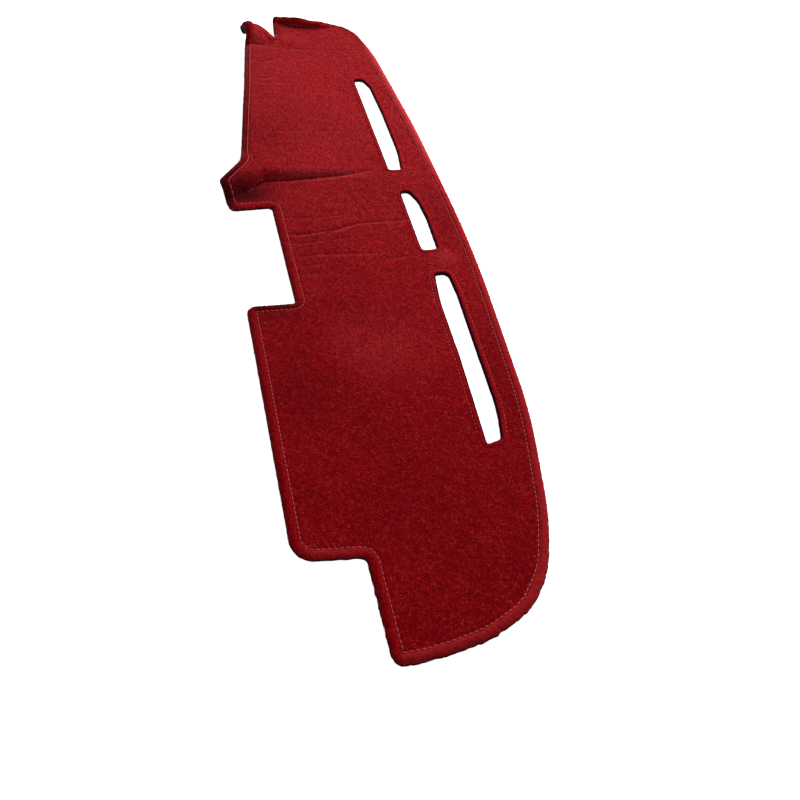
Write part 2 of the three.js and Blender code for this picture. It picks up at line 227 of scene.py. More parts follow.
def hoodHeight(u, v):
    rise = mix(hood["stepHeight"], hood["rise"], ease(hood["stepAt"], hood["peakAt"], u))
    far = np.clip((hood["peakAt"] - u) / (hood["peakAt"] - curl["foldFront"]), 0.0, 1.0)
    fall = mix(hood["foldHeight"], hood["rise"], np.cos(far * math.pi / 2))
    crown = np.where(u > hood["peakAt"], rise, fall)
    step = 1.0 - ease(0.0, 1.0, (u - along(hood["stepTop"], v)) / along(hood["stepRun"], v))
    edge = v - along(hood["edge"], u)
    toCorner = ease(*hood["cornerRun"], u)
    drop = hood["hemDrop"] * (1.0 - ease(0.0, hood["hemWidth"], edge)) * (1.0 - toCorner)
    return np.maximum((ease(hood["back"], hood["front"], v) * crown - drop) * step, 0.0)


def curlSlope(distance, v):
    turned = np.clip((distance - along(curl["run"], v)) / curl["arc"], 0.0, 1.0)
    up = math.radians(curl["angle"]) * ease(0.0, curl["bendStart"], distance)
    return along(curl["strength"], v) * mix(up, math.radians(curl["fall"]), turned)


def lipSlope(u, v):
    turned = np.clip((along(curl["lip"], v) - u) / curl["lipBend"], 0.0, 1.0)
    return np.radians(along(curl["lipAngle"], v)) * turned


# the two flaps past the fold: each place is walked to along its own flap
def flaps(u, v):
    fold = foldAt(v)
    distance = fold - u
    base = hoodHeight(fold, v)
    curled = np.stack([fold, base])
    top, end = curl["bumpTop"], curl["bumpEnd"]
    bump = along(curl["bump"], v) * ease(0.0, top, distance) * (1.0 - ease(top, end, distance))
    lipped = np.stack([fold, base * (1.0 - ease(0.0, curl["settle"], distance)) + bump])
    walk = curl["walk"]
    for i in range(walk):
        walked = (i + 0.5) / walk * distance
        rising = curlSlope(walked, v)
        turning = lipSlope(fold - walked, v)
        curled += np.stack([-np.cos(rising), np.sin(rising)]) * distance / walk
        lipped += np.stack([-np.cos(turning), np.sin(turning)]) * distance / walk
    jointEnd = curl["foldFront"] + curl["jointPast"] - curl["cutEnd"]
    joined = mix(*curl["joint"], 1.0 - ease(curl["jointStart"], jointEnd, distance))
    rear = ease(curl["cut"] - joined, curl["cut"] + joined, v)
    x, z = mix(curled, lipped, rear)
    return np.stack([x, v, z], -1)


def underside(u, v):
    place = np.stack([u, v, hoodHeight(u, v)], -1)
    past = u < foldAt(v)
    if past.any():
        place[past] = flaps(u[past], v[past])
    return place


def facing(u, v):
    reach = 0.5
    lengthwise = underside(u + reach, v) - underside(u - reach, v)
    crosswise = underside(u, v + reach) - underside(u, v - reach)
    normal = np.cross(lengthwise, crosswise)
    return normal / np.linalg.norm(normal, axis=-1, keepdims=True)


# places on the flat cut, at heights above the underside, in metres in the part's frame
def onSheet(flat, height):
    u, v = flat[:, 0], flat[:, 1]
    place = underside(u, v) + facing(u, v) * np.broadcast_to(height, len(flat))[:, None]
    place[:, :2] += sheet["origin"]
    return place / 1000.0


def curlEnd(v):
    distance = curl["arc"]
    while underside(np.array([foldAt(v) - distance]), np.array([v]))[0, 2] > 1.0:
        distance += 1.0
    return foldAt(v) - distance


# corners of the outline and of the slots, as (along, across, radius)
outerCorners = [
    (curlEnd(-210.0), -210, 10), (-663, -226, 20), (-642, -207, 30), (-606, -217, 40), (-400, -243, 900),
    (-172, -277, 30), (-119, -319, 14), (-95, -315, 60), (-60, -307, 11), (-61, -240, 8), (172, -238, 4),
    (169, -311, 14), (597, -311, 32), (607, -226, 8), (742, -225, 15), (742, -168, 300), (732, -108, 160),
    (709, -54, 90), (664, -15, 120), (589, 13, 420), (430, 46, 900), (80, 71, 3000), (-260, 66, 2200),
    (-560, 48, 700), (-650, 28, 90), (-687, 0, 50), (-690, -60, 200), (-724, -143, 7), (-613, -153, 1.5),
    (-613, -157, 1.5),
]
slotCorners = [
    [(-452, -16, 4), (-145, -17, 2), (-143, 4, 2), (-200, 11, 300), (-330, 12, 500),
     (-425, 9, 40), (-452, 0, 8)],
    [(-76, -12.5, 4), (68, -15, 20), (78, -13, 2), (78, 10, 4), (0, 13, 300), (-50, 10, 60), (-78, 0, 8)],
    [(139, -10, 4), (200, -18, 300), (319, -21.5, 900), (466, -30.5, 5), (473, -30.5, 2), (468, -10.5, 4),
     (419, 0, 500), (299, 5.5, 900), (189, 11, 100), (147, 10, 8), (139, 6, 8)],
]


# the same closed line with points at even steps
def evenly(line, spacing):
    closed = np.vstack([line, line[:1]])
    reached = np.concatenate([[0.0], np.cumsum(np.hypot(*np.diff(closed, axis=0).T))])
    count = max(8, round(reached[-1] / spacing))
    wanted = np.arange(count) * reached[-1] / count
    return np.stack([np.interp(wanted, reached, closed[:, i]) for i in (0, 1)], -1)


def roundedLoop(corners, spacing):
    mostOfSide = 0.499  # so that two corners never meet on the side between them
    leastPerRadian = 5.0
    points = []
    for i, (x, y, radius) in enumerate(corners):
        corner = Vector((x, y))
        back = Vector(corners[i - 1][:2]) - corner
        ahead = Vector(corners[(i + 1) % len(corners)][:2]) - corner
        room = mostOfSide * min(back.length, ahead.length)
        back.normalize()
        ahead.normalize()
        half = math.acos(max(-1.0, min(1.0, back.dot(ahead)))) / 2
        cut = min(radius / math.tan(half), room)
        bend = cut * math.tan(half)
        centre = corner + (back + ahead).normalized() * math.hypot(cut, bend)
        start = corner + back * cut - centre
        end = corner + ahead * cut - centre
        first = math.atan2(start.y, start.x)
        turn = (math.atan2(end.y, end.x) - first + math.pi) % (2 * math.pi) - math.pi
        pieces = max(1, math.ceil(abs(turn) * max(bend / spacing, leastPerRadian)))
        for k in range(pieces + 1):
            angle = first + turn * k / pieces
            points.append((centre.x + bend * math.cos(angle), centre.y + bend * math.sin(angle)))
    return evenly(np.array(points), spacing)


def loopArea(line):
    ahead = np.roll(line, -1, axis=0)
    return 0.5 * np.sum(line[:, 0] * ahead[:, 1] - ahead[:, 0] * line[:, 1])


# directions into the sheet from each point of a loop that has the sheet on its left
def inward(loop):
    ahead = np.roll(loop, -1, axis=0) - loop
    ahead /= np.linalg.norm(ahead, axis=1, keepdims=True)
    tangent = ahead + np.roll(ahead, 1, axis=0)
    tangent /= np.linalg.norm(tangent, axis=1, keepdims=True)
    return np.stack([-tangent[:, 1], tangent[:, 0]], -1)


def makeLoops(spacing):
    loops = [roundedLoop(corners, spacing) for corners in [outerCorners, *slotCorners]]
    return [loop if (loopArea(loop) > 0) == (i == 0) else loop[::-1] for i, loop in enumerate(loops)]


def hemShare(index):
    return 1.0 if index == 0 else sheet["slotStitchInset"] / sheet["stitchInset"]


# looks up the nearest edge of a place: its distance in the outer hem's measure, whether the
# place is on the sheet, and whether that edge is a slot's
class Edges:
    def __init__(self, loops):
        split = sheet["edgeSplit"]
        self.trees = []
        for index, loop in enumerate(loops):
            ends = np.roll(loop, -1, axis=0)
            chord = ends - loop
            steps = np.linspace(0.0, 1.0, split, endpoint=False)[:, None, None]
            dense = (loop + chord * steps).reshape(-1, 2)
            normal = np.stack([-chord[:, 1], chord[:, 0]], -1)
            normal /= np.linalg.norm(chord, axis=1, keepdims=True)
            tree = kdtree.KDTree(len(dense))
            for i, (x, y) in enumerate(dense):
                tree.insert((x, y, 0.0), i)
            tree.balance()
            self.trees.append((tree, np.tile(normal, (split, 1)), hemShare(index)))

    def look(self, points):
        inset = np.full(len(points), 1e9)
        inside = np.zeros(len(points), bool)
        slot = np.zeros(len(points), bool)
        for index, (tree, normal, share) in enumerate(self.trees):
            found = [tree.find((x, y, 0.0)) for x, y in points]
            away = np.array([f[2] for f in found]) / share
            side = points - np.array([tuple(f[0])[:2] for f in found])
            within = (side * normal[[f[1] for f in found]]).sum(1) > 0
            nearer = away < inset
            inset[nearer] = away[nearer]
            inside[nearer] = within[nearer]
            slot[nearer] = index > 0
        return inset, inside, slot

    # the way that the nearest outer edge faces
    def outward(self, points):
        tree, normal, _ = self.trees[0]
        return -normal[[tree.find((x, y, 0.0))[1] for x, y in points]]


# heights of the two faces above the underside, by distance from the edge
topRows = [
    (0, 3.45), (0.6, 4.7), (1.5, 5.8), (3.0, 6.95), (5.0, 7.95), (7.8, 8.6), (10.4, 8.3),
    (12.2, 7.2), (13.2, 6.3), (14.0, 5.9), (14.9, 6.0), (16.2, 6.4), (19.5, 6.2), (24.0, 6.0),
]
slotRows = [
    (0, 3.45), (1.35, 5.25), (4.5, 6.65), (8.1, 7.0), (11.5, 6.8), (14.0, 5.7), (16.5, 6.2),
    (24.0, 6.0),
]
backRows = [(0, 3.45), (0.8, 1.6), (2.0, 0.6), (4.5, 0.0), (19.0, 0.0), (20.0, 1.0), (21.5, 0.0)]


def makeFace(loops, rows, spacing):
    edges = Edges(loops)
    points = [np.vstack(loops)]
    for reach, _ in rows[1:]:
        row = np.vstack([loop + inward(loop) * reach * hemShare(i) for i, loop in enumerate(loops)])
        inset, inside, _ = edges.look(row)
        points.append(row[inside & (inset > reach - sheet["rowSlack"])])
    rise = spacing * math.sqrt(3) / 2
    left, right = sheet["fieldAlong"]
    field = []
    for k in range(int(sheet["fieldDepth"] / rise)):
        xs = np.arange(left + (k % 2) * spacing / 2, right, spacing)
        field.append(np.stack([xs, np.full(len(xs), sheet["fieldTop"] - k * rise)], -1))
    field = np.vstack(field)
    inset, inside, _ = edges.look(field)
    points.append(field[inside & (inset > rows[-1][0] + spacing * sheet["fieldGap"])])
    places = np.vstack(points)
    sides = []
    shared = 0
    for loop in loops:
        sides += [(shared + i, shared + (i + 1) % len(loop)) for i in range(len(loop))]
        shared += len(loop)
    found, _, faces, *_ = geometry.delaunay_2d_cdt([Vector(p) for p in places], sides, [], 0, 1e-6)
    places = np.array([tuple(p) for p in found])
    faces = np.array(faces)
    faces = faces[edges.look(places[faces].mean(1))[1]]
    a, b, c = (places[faces[:, i]] for i in range(3))
    turned = (b[:, 0] - a[:, 0]) * (c[:, 1] - a[:, 1]) < (b[:, 1] - a[:, 1]) * (c[:, 0] - a[:, 0])
    faces[turned] = faces[turned][:, ::-1]
    inset, _, slot = edges.look(places)
    inset[:shared] = 0.0
    return places, faces, inset, slot, shared


print("sheet described")


# creases pressed into the pile: depth in mm, which also sets how strongly they get painted shade and
# highlight, then the places they pass on the flat cut
creases = [
    (0.5, (-30, -220), (-24, -167), (-28, -115)),
    (1.2, (14, -223), (16, -194), (10, -151), (-2, -101), (-1, -21)),
    (0.9, (21, -170), (1, -117)),
    (0.7, (40, -221), (33, -164)),
    (0.8, (68, -215), (68, -178), (77, -82)),
    (0.5, (93, -218), (88, -176)),
    (0.7, (112, -223), (109, -186)),
    (0.6, (93, -84), (88, -30)),
    (0.4, (144, -225), (146, -177)),
    (1.6, (-508, -213), (-503, -196), (-518, -166)),
    (1.2, (-488, -215), (-488, -195)),
    (1.1, (-433, -221), (-429, -203), (-441, -172)),
    (0.5, (-407, -226), (-421, -147)),
    (0.4, (-247, -221), (-269, -56)),
    (1.3, (-603, -210), (-580, -168), (-574, -128), (-576, -62)),
    (0.7, (-634, -205), (-614, -175)),
    (0.8, (203, -300), (202, -273)),
    (1.0, (-133, -249), (-130, -181), (-134, -109), (-150, -42)),
    (0.6, (129, -16), (128, 13)),
]

# soft patches, darker below 0 and lighter above it: along, across, half sizes, change; the first four are
# painted shade and painted light
lightAndTonePatches = [
    # painted shade in the pocket beside the hood's step, where its shadow falls
    (-103, -276, 36, 40, -0.95),
    # painted light on the face of the hood's step
    (-138, -150, 9, 90, 0.4),
    # painted shade on the ear, running on from the pocket
    (-85, -300, 30, 14, -0.25),
    # painted light on the near wall of the curled front flap
    (-610, -188, 26, 30, 0.35),
    # from here on, plain changes of the pile's tone
    (185, -285, 26, 40, -0.25),
    (330, -255, 90, 50, -0.2),
    (280, -140, 60, 80, 0.16),
    (100, 20, 22, 22, 0.3),
    (330, 22, 150, 16, -0.2),
    (-10, 38, 90, 18, -0.2),
    (560, -120, 110, 90, -0.12),
]


# a crease's section, in mm: a valley with a ridge beside it, with painted shade in the valley and a
# painted highlight on the ridge
pressed = {
    "valleyWidth": 2.8,
    "ridge": 0.5,
    "ridgeAt": 4.5,
    "ridgeWidth": 3.0,
    "dark": 1.2,
    "darkWidth": 2.4,
    "light": 0.9,
    "lightAt": 4.2,
    "lightWidth": 2.2,
    "fade": 18.0,
}


def bell(value, middle, width):
    return np.exp(-(((value - middle) / width) ** 2))


def creased(flat):
    depth = np.zeros(len(flat))
    creaseShading = np.zeros(len(flat))
    for deep, *places in creases:
        best = np.full(len(flat), 1e9)
        side = np.zeros(len(flat))
        for (u0, v0), (u1, v1) in zip(places, places[1:]):
            du, dv = u1 - u0, v1 - v0
            t = np.clip(((flat[:, 0] - u0) * du + (flat[:, 1] - v0) * dv) / (du * du + dv * dv), 0.0, 1.0)
            gapU, gapV = flat[:, 0] - u0 - t * du, flat[:, 1] - v0 - t * dv
            gap = np.hypot(gapU, gapV)
            nearer = gap < best
            best[nearer], side[nearer] = gap[nearer], np.sign(gapU)[nearer] * gap[nearer]
        ends = np.array([places[0], places[-1]], float)
        toEnd = np.min([np.hypot(*(flat - end).T) for end in ends], axis=0)
        fade = ease(0.0, pressed["fade"], toEnd)
        ridge = pressed["ridge"] * bell(side, pressed["ridgeAt"], pressed["ridgeWidth"])
        light = pressed["light"] * bell(side, pressed["lightAt"], pressed["lightWidth"])
        dark = pressed["dark"] * bell(side, 0.0, pressed["darkWidth"])
        depth += deep * fade * (ridge - bell(side, 0.0, pressed["valleyWidth"]))
        creaseShading += deep * fade * (light - dark)
    return depth, creaseShading


def paintedPatchChange(flat):
    change = np.zeros(len(flat))
    for u, v, halfU, halfV, amount in lightAndTonePatches:
        reach = ((flat[:, 0] - u) / halfU) ** 2 + ((flat[:, 1] - v) / halfV) ** 2
        change += amount * np.exp(-reach)
    return change


# painted light and shade on the outer hem, by the way that it faces: lighter where it faces the
# windscreen and the passenger's end, darker where it faces the front and the driver's end, as the key
# light falls; and the stretches over which that sets in or changes
hemLightByFacing = {
    "hemEnd": (12.0, 15.0),
    "windscreen": (1.0, 0.25),
    "windscreenFrom": (-610.0, -560.0),
    "windscreenRun": (-220.0, -80.0),
    "front": (0.5, 0.1),
    "frontRun": (-250.0, 250.0),
    "driver": 0.5,
    "driverFrom": (-620.0, -580.0),
    "passenger": 0.3,
}


# above 0 where painted light brightens the hem, below 0 where painted shade darkens it
def paintedHemLight(flat, inset, slot, outward):
    u = flat[:, 0]
    onHem = (1.0 - ease(*hemLightByFacing["hemEnd"], inset)) * ~slot
    windscreen = np.clip(outward[:, 1], 0.0, 1.0) * ease(*hemLightByFacing["windscreenFrom"], u)
    light = mix(*hemLightByFacing["windscreen"], ease(*hemLightByFacing["windscreenRun"], u))
    front = np.clip(-outward[:, 1], 0.0, 1.0)
    dark = mix(*hemLightByFacing["front"], ease(*hemLightByFacing["frontRun"], u))
    driver = np.clip(-outward[:, 0], 0.0, 1.0) ** 2 * ease(*hemLightByFacing["driverFrom"], u)
    passenger = np.clip(outward[:, 0], 0.0, 1.0)
    lighter = windscreen * light + hemLightByFacing["passenger"] * passenger
    return onHem * (lighter - front * dark - hemLightByFacing["driver"] * driver)


# small unevenness, in layers of (amount in mm, size in mm, seed)
uneven = {
    "edge": [(1.0, 9.0, 2.0), (0.6, 3.7, 5.0)],
    "edgeShare": (0.35, 1.7),
    "edgeRun": (560.0, 680.0),  # the edge gets rougher over this stretch
    "pile": [(0.6, 4.0, 3.0), (0.8, 13.0, 8.0)],
    "pileFrom": 3.0,
    "creasesFrom": (14.0, 26.0),
    "creaseShading": 0.5,  # how much of a crease's painted shade and highlight shows
}


def waves(flat, layers):
    return sum(
        amount * np.array([noise.noise((x / size, y / size, seed)) for x, y in flat])
        for amount, size, seed in layers
    )


# the flat map for baking: the cut to scale, with the backing half a map away from the pile
flatMap = {"spread": 1560.0, "middle": (780.0, 360.0), "backShift": 0.5, "rodWidth": 0.4}


# one piece of the mat: a smooth mesh with its own flat map
def makePiece(name, vertices, faces, flat):
    mesh = bpy.data.meshes.new(name)
    mesh.from_pydata(vertices.tolist(), [], faces.tolist())
    mesh.polygons.foreach_set("use_smooth", [True] * len(faces))
    corners = np.zeros(len(mesh.loops), np.int32)
    mesh.loops.foreach_get("vertex_index", corners)
    layer = mesh.uv_layers.new(name="OFBake")
    placed = (flat[corners] + flatMap["middle"]) / flatMap["spread"]
    layer.data.foreach_set("uv", placed.reshape(-1))
    piece = bpy.data.objects.new(name, mesh)
    scene.collection.objects.link(piece)
    return piece


def store(mesh, name, values):
    mesh.attributes.new(name, "FLOAT", "POINT").data.foreach_set("value", np.asarray(values, np.float32))


# carpet: one closed sheet, with its pile on top and its backing below
def makeCarpet():
    loops = makeLoops(sheet["step"])
    for i, loop in enumerate(loops):
        rough = mix(*uneven["edgeShare"], ease(*uneven["edgeRun"], loop[:, 0]))
        shake = waves(loop, uneven["edge"])
        loops[i] = loop + inward(loop) * (rough * shake)[:, None]
    places, faces, inset, slot, shared = makeFace(loops, topRows, sheet["field"])
    depth, creaseShading = creased(places)
    profile = np.where(slot, along(slotRows, inset), along(topRows, inset))
    lumps = ease(0.0, uneven["pileFrom"], inset) * waves(places, uneven["pile"])
    height = profile + lumps + depth * ease(*uneven["creasesFrom"], inset)
    upper = onSheet(places, height)
    backPlaces, backFaces, backInset, backSlot, _ = makeFace(loops, backRows, sheet["backField"])
    lower = onSheet(backPlaces[shared:], along(backRows, backInset[shared:]))
    number = np.concatenate([np.arange(shared), np.arange(len(lower)) + len(places)])
    allFaces = np.vstack([faces, number[backFaces][:, ::-1]])
    flat = np.vstack([places, backPlaces[shared:]])
    carpet = makePiece("carpet", np.vstack([upper, lower]), allFaces, flat)
    mesh = carpet.data
    fullInset = np.concatenate([inset, backInset[shared:]])
    onTop = np.arange(len(allFaces)) < len(faces)
    depthIn = fullInset[allFaces].mean(1)
    kind = np.where(onTop, 0, np.where(depthIn > sheet["turned"], 2, 1))
    mesh.polygons.foreach_set("material_index", kind.astype(np.int32))
    uv = np.zeros(len(mesh.loops) * 2, np.float32)
    mesh.uv_layers[0].data.foreach_get("uv", uv)
    uv[len(faces) * 6 + 1::2] += flatMap["backShift"]
    mesh.uv_layers[0].data.foreach_set("uv", uv)
    below = np.zeros(len(lower))
    # painted light and shade, with a few plain changes of tone: "shade" holds what is darkened, "lift"
    # what is lightened
    change = paintedPatchChange(places) + paintedHemLight(places, inset, slot, Edges(loops).outward(places))
    darker = np.clip(-change, 0.0, 1.0) + np.clip(-creaseShading, 0.0, 1.0) * uneven["creaseShading"]
    lighter = np.clip(change, 0.0, 1.0) + np.clip(creaseShading, 0.0, 1.0) * uneven["creaseShading"]
    store(mesh, "inset", fullInset)
    store(mesh, "even", ease(*sheet["even"], flat[:, 0]))
    store(mesh, "slot", np.concatenate([slot, backSlot[shared:]]))
    store(mesh, "shade", np.concatenate([darker, below]))
    store(mesh, "lift", np.concatenate([lighter, below]))
    return carpet


carpet = makeCarpet()
print("carpet made:", len(carpet.data.polygons), "triangles")


pile = {
    "deep": (0.09, 0.0003, 0.0016),
    "middle": (0.2, 0.0012, 0.0035),
    "bright": (0.37, 0.0030, 0.007),
    "farSheen": (0.37, 0.012, 0.016),  # painted sheen: a pinker bright tone toward the far end, over the instruments, for the pile's sheen seen at a low angle
    "tipsAndPaintedLight": (0.55, 0.046, 0.054),
    # painted shade, in the pocket, creases and hems; then the edges' painted shade, partly the dark
    # backing showing
    "shade": (0.032, 0.0006, 0.0014),
    "edgeShadeAndBacking": (0.018, 0.0015, 0.006),
    "sheen": 0.36,
    "sheenRough": 0.35,
    "sheenTint": (1.0, 0.13, 0.15),
    "gloss": 0.02,
    "roughness": 0.95,
    "tuft": 230.0,  # tufts, fibres and drifts of colour to the metre, roughly
    "fibre": 560.0,
    "drift": 8.0,
    "grain": (0.38, 0.62),  # the stretches of noise over which the colours change
    "tipped": (0.54, 0.66),
    "drifted": (0.42, 0.7),
    "middleShare": 0.55,
    "tipsShare": 0.45,
    "driftShare": 0.3,
    "hemShare": 0.6,
    "lifted": (0.8, 0.4),  # with the grain, and without it
    "hem": (13.0, 11.0),  # mm in from the edge, as the next three
    "rim": (2.2, 1.3),
    "rimShake": 1.2,
    "cutEdge": (6.0, 3.6),
    "bump": 0.9,
    "bumpHeight": 0.0025,
}


def makePile():
    tree = Tree("pile")
    inset = tree.stored("inset")
    tufts = tree.noise(pile["tuft"], 3.0, 0.65)
    fibres = tree.noise(pile["fibre"], 2.0, 0.6)
    drift = tree.stretch(tree.noise(pile["drift"], 3.0, 0.6), *pile["drifted"])
    grain = tree.stretch(tufts * 0.45 + fibres * 0.55, *pile["grain"])
    tipped = tree.stretch(tufts * 0.4 + fibres * 0.6, *pile["tipped"])
    bright = tree.mixColours(tree.stored("even"), pile["farSheen"], pile["bright"])
    colour = tree.mixColours(grain, pile["deep"], bright)
    colour = tree.mixColours(tree.stored("even") * pile["middleShare"], colour, pile["middle"])
    colour = tree.mixColours(drift * pile["driftShare"], colour, pile["deep"])
    colour = tree.mixColours(tipped * pile["tipsShare"], colour, pile["tipsAndPaintedLight"])
    # painted light: the pile goes toward the tips' colour where "lift" is set, on the hood's step, the
    # front flap's wall, the windscreen and passenger's hems and the crease ridges; a few other patches
    # only change the tone
    grainy, plain = pile["lifted"]
    colour = tree.mixColours(tree.stored("lift") * (grain * grainy + plain), colour, pile["tipsAndPaintedLight"])
    hem = tree.stretch(inset, *pile["hem"])
    colour = tree.mixColours(hem * grain * pile["hemShare"], colour, pile["bright"])
    # painted shade at the edges: the foot of the outer edge, partly the dark backing showing and partly
    # painted contact shade, and the cut walls of the slots
    rim = tree.stretch(inset + tufts * pile["rimShake"], *pile["rim"])
    cutEdge = tree.stretch(inset, *pile["cutEdge"]) * tree.stored("slot")
    # painted shade: the pile goes toward the shade colour where "shade" is set, in the pocket by the
    # hood's step, the crease valleys and the front and driver's hems; a few other patches only darken the
    # tone
    colour = tree.mixColours(tree.stored("shade"), colour, pile["shade"])
    colour = tree.mixColours(rim + cutEdge, colour, pile["edgeShadeAndBacking"])
    bump = tree.bump(tufts * 0.7 + fibres * 0.3, pile["bump"], pile["bumpHeight"])
    tree.set(Roughness=pile["roughness"], Specular_IOR_Level=pile["gloss"])
    tree.set(Sheen_Weight=pile["sheen"], Sheen_Roughness=pile["sheenRough"])
    return tree.set(Base_Color=colour, Normal=bump, Sheen_Tint=pile["sheenTint"])


# the pile of the hem where it is turned under: painted shade, made near black as if in the shadow under
# the mat's edge
shadedTurnedPile = {"colour": (0.035, 0.002, 0.008), "fibre": (0.075, 0.006, 0.016), "fine": 500.0}
backing = {"colour": (0.010, 0.009, 0.010), "fibre": (0.03, 0.026, 0.028), "fine": 700.0}


def makeFelt(name, kind):
    tree = Tree(name)
    felt = tree.noise(kind["fine"], 4.0, 0.7)
    colour = tree.mixColours(tree.stretch(felt, 0.35, 0.7), kind["colour"], kind["fibre"])
    bump = tree.bump(felt, 0.5, 0.001)
    return tree.set(Base_Color=colour, Normal=bump, Roughness=0.9, Specular_IOR_Level=0.15)


carpet.data.materials.append(makePile())
carpet.data.materials.append(makeFelt("shadedTurnedPile", shadedTurnedPile))
carpet.data.materials.append(makeFelt("backing", backing))
print("carpet dressed")


# many short rods of one kind, each from its own row of points, in one mesh
def makeRods(name, centres, ups, flats, radius, taper, sides):
    count, rings, _ = centres.shape
    run = np.gradient(centres, axis=1)
    run /= np.linalg.norm(run, axis=2, keepdims=True)
    side = np.cross(run, ups)
    side /= np.linalg.norm(side, axis=2, keepdims=True)
    up = np.cross(side, run)
    angle = np.arange(sides) * 2 * math.pi / sides
    ring = side[:, :, None] * np.cos(angle)[:, None] + up[:, :, None] * np.sin(angle)[:, None]
    width = radius[:, None] * np.asarray(taper)
    vertices = (centres[:, :, None] + ring * width[:, :, None, None] / 1000.0).reshape(-1, 3)
    first = (np.arange(count) * rings * sides)[:, None, None] + (np.arange(rings - 1) * sides)[:, None]
    j = np.arange(sides)
    k = (j + 1) % sides
    a, b = first + j, first + k
    quads = np.stack([a, a + sides, b + sides, b], -1).reshape(-1, 4)
    around = np.stack([np.cos(angle), np.sin(angle)], -1) * flatMap["rodWidth"]
    flat = np.repeat(flats.reshape(-1, 2), sides, axis=0) + np.tile(around, (count * rings, 1))
    piece = makePiece(name, vertices, quads, flat)
    capped(piece.data, sides)
    return piece


# closes both ends of every rod
def capped(mesh, sides):
    builder = bmesh.new()
    builder.from_mesh(mesh)
    ends = [edge for edge in builder.edges if edge.is_boundary]
    bmesh.ops.holes_fill(builder, edges=ends, sides=sides)
    for face in builder.faces:
        face.smooth = True
    builder.to_mesh(mesh)
    builder.free()


thread = {
    "step": 0.7,
    "each": 10,  # steps from one stitch to the next
    "bends": (0, 3, 6, 9),
    "radius": 0.7,
    "slotRadius": 0.45,
    "height": 6.9,
    "slotHeight": 6.3,
    "sunk": 1.2,
    "taper": (0.7, 1.0, 1.0, 0.7),
    "sides": 6,
    "loops": (0, 3),  # the outer edge and the passenger's slot
    "loopStep": 2.0,
    "slack": 0.4,
    "longest": 1.3,  # of its own steps; a stitch that would have to jump further is left out
    "cutFrom": -600.0,  # none round the cut between the flaps
    "cutAt": -160.0,
    "cutHalf": 45.0,
    "slotEnd": 458.0,  # none at the passenger's slot past here
    "colour": (0.70, 0.085, 0.095),
    "twist": (0.42, 0.03, 0.036),
    "twistFine": 2200.0,
}


# stitches in the groove of each hem, every one a short bowed length of thread
def makeStitches():
    centres, ups, flats, radius = [], [], [], []
    loops = makeLoops(thread["loopStep"])
    edges = Edges(loops)
    longest = thread["step"] * thread["each"] * thread["longest"]
    for i in thread["loops"]:
        row = loops[i] + inward(loops[i]) * sheet["stitchInset"] * hemShare(i)
        inset, inside, _ = edges.look(row)
        row = evenly(row[inside & (inset > sheet["stitchInset"] - thread["slack"])], thread["step"])
        starts = np.arange(len(row) // thread["each"]) * thread["each"]
        at = (starts[:, None] + np.array(thread["bends"])) % len(row)
        jump = np.linalg.norm(row[at[:, -1]] - row[at[:, 0]], axis=1)
        u, v = row[at[:, 1]].T
        atCut = (u < thread["cutFrom"]) & (np.abs(v - thread["cutAt"]) < thread["cutHalf"])
        atSlotEnd = (i > 0) & (u > thread["slotEnd"])
        at = at[(jump < longest) & ~atCut & ~atSlotEnd]
        height = thread["height" if i == 0 else "slotHeight"]
        bowed = height - np.array([1.0, 0.0, 0.0, 1.0]) * thread["sunk"]
        ring = onSheet(row[at.reshape(-1)], np.tile(bowed, len(at))).reshape(-1, 4, 3)
        centres.append(ring)
        ups.append(facing(*row[at.reshape(-1)].T).reshape(-1, 4, 3))
        flats.append(row[at])
        radius.append(np.full(len(at), thread["radius"] if i == 0 else thread["slotRadius"]))
    rods = [np.concatenate(x) for x in (centres, ups, flats, radius)]
    return makeRods("hemStitches", *rods, thread["taper"], thread["sides"])


def makeThread():
    tree = Tree("thread")
    twist = tree.noise(thread["twistFine"], 2.0, 0.5)
    colour = tree.mixColours(tree.stretch(twist, 0.3, 0.7), thread["twist"], thread["colour"])
    return tree.set(Base_Color=colour, Roughness=0.7, Specular_IOR_Level=0.3)


stitches = makeStitches()
stitches.data.materials.append(makeThread())
print("stitches made:", len(stitches.data.polygons), "faces")


fuzz = {
    "seed": 7,
    "edge": 5200,
    "length": (1.2, 3.0),
    "rooted": (0.3, 2.5),  # mm in from the edge
    "turn": 0.6,
    "lowest": 3.0,
    "heights": 3.2,
    "rise": (-0.2, 0.9),
    "loose": 4200,
    "looseLength": (2.5, 6.0),
    "looseArea": ((-720, -315), (740, 70)),
    "looseInset": 8.0,
    "looseGap": 0.1,
    "looseRise": 0.3,
    "bends": (0.0, 0.55, 1.0),
    "bow": 0.5,
    "radius": 0.14,
    "taper": (1.0, 0.9, 0.35),
    "sides": 3,
    "ground": 0.0004,  # m, the lowest that a fibre's middle may lie
    "loopStep": 2.0,
    "lookStep": 4.0,
    "colour": (0.22, 0.006, 0.012),
    "pale": (0.5, 0.09, 0.1),
    "patchy": 60.0,
}


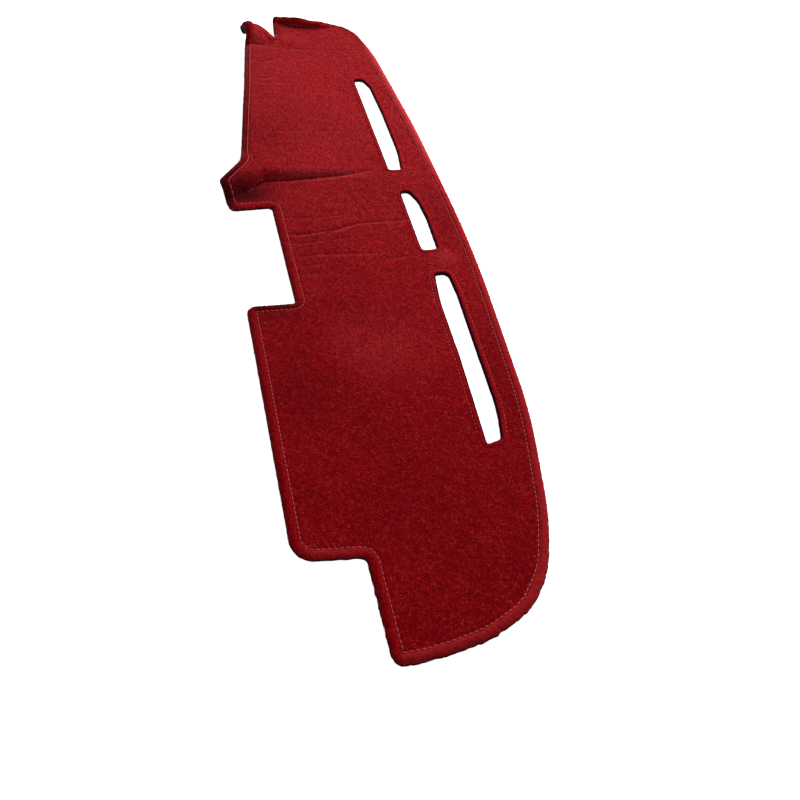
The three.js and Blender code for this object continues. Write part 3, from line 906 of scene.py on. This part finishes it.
# fibres that stand out of the hem's edge, and loose ones that lie on the pile
def makeFuzz():
    chance = np.random.default_rng(fuzz["seed"])
    loop = makeLoops(fuzz["loopStep"])[0]
    pick = chance.integers(0, len(loop), fuzz["edge"])
    away = -inward(loop)[pick]
    root = loop[pick] - away * chance.uniform(*fuzz["rooted"], fuzz["edge"])[:, None]
    turn = chance.normal(0.0, fuzz["turn"], fuzz["edge"])
    heading = np.arctan2(away[:, 1], away[:, 0]) + turn
    lean = np.stack([np.cos(heading), np.sin(heading)], -1)
    length = chance.uniform(*fuzz["length"], fuzz["edge"])
    base = fuzz["lowest"] + chance.uniform(0.0, fuzz["heights"], fuzz["edge"])
    rise = chance.uniform(*fuzz["rise"], fuzz["edge"]) * length
    edgeRods = rodsBetween(root, lean, length, base, rise)
    spots = chance.uniform(*fuzz["looseArea"], (fuzz["loose"] * 2, 2))
    inset, inside, slot = Edges(makeLoops(fuzz["lookStep"])).look(spots)
    kept = np.flatnonzero(inside & (inset > fuzz["looseInset"]))[:fuzz["loose"]]
    spots = spots[kept]
    heading = chance.uniform(0.0, 2 * math.pi, len(spots))
    lean = np.stack([np.cos(heading), np.sin(heading)], -1)
    length = chance.uniform(*fuzz["looseLength"], len(spots))
    top = np.where(slot[kept], along(slotRows, inset[kept]), along(topRows, inset[kept]))
    rise = np.full(len(spots), fuzz["looseRise"])
    looseRods = rodsBetween(spots, lean, length, top + fuzz["looseGap"], rise)
    rods = [np.concatenate(pair) for pair in zip(edgeRods, looseRods)]
    return makeRods("looseFibres", *rods, fuzz["taper"], fuzz["sides"])


# a bowed fibre from each root, with its sides squared to the sheet at the root
def rodsBetween(root, lean, length, base, rise):
    share = np.array(fuzz["bends"])
    flats = root[:, None] + lean[:, None] * (length[:, None] * share)[..., None]
    height = base[:, None] + rise[:, None] * share + fuzz["bow"] * np.sin(share * math.pi)
    ups = np.repeat(facing(*root.T)[:, None], len(share), axis=1)
    centres = onSheet(flats.reshape(-1, 2), height.reshape(-1)).reshape(-1, 3, 3)
    centres[..., 2] = np.maximum(centres[..., 2], fuzz["ground"])
    return centres, ups, flats, np.full(len(root), fuzz["radius"])


def makeFibre():
    tree = Tree("fibre")
    kind = tree.noise(fuzz["patchy"], 3.0, 0.7)
    colour = tree.mixColours(tree.stretch(kind, 0.45, 0.65), fuzz["colour"], fuzz["pale"])
    return tree.set(Base_Color=colour, Roughness=0.8, Specular_IOR_Level=0.2)


fibres = makeFuzz()
fibres.data.materials.append(makeFibre())
print("fibres made:", len(fibres.data.polygons), "faces")


for piece in (carpet, stitches, fibres):
    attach(piece, "root")
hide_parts("carpet_mat")


studio = {
    "floorSize": 12.0,
    "floor": (0.93, 0.93, 0.93),
    "floorGlow": 0.95,
    "world": 0.32,
    "keyPlace": (-0.9, 1.3, 1.1),
    "keySize": 1.2,
    "keyPower": 56.0,
}


def makeStudio():
    bpy.ops.mesh.primitive_plane_add(size=studio["floorSize"])
    floor = bpy.context.object
    floor.name = "floor"
    tree = Tree("floor")
    tree.set(Base_Color=studio["floor"], Roughness=0.9)
    tree.set(Emission_Color=(1.0, 1.0, 1.0), Emission_Strength=studio["floorGlow"])
    floor.data.materials.append(tree.material)
    floor.visible_diffuse = False
    world = bpy.data.worlds.new("studio")
    scene.world = world
    world.use_nodes = True
    background = world.node_tree.nodes["Background"]
    background.inputs["Color"].default_value = (1.0, 1.0, 1.0, 1.0)
    background.inputs["Strength"].default_value = studio["world"]
    data = bpy.data.lights.new("key", "AREA")
    data.energy = studio["keyPower"]
    data.size = studio["keySize"]
    key = bpy.data.objects.new("key", data)
    key.location = studio["keyPlace"]
    key.rotation_euler = (-Vector(studio["keyPlace"])).to_track_quat("-Z", "Y").to_euler()
    scene.collection.objects.link(key)


makeStudio()
print("studio lit")
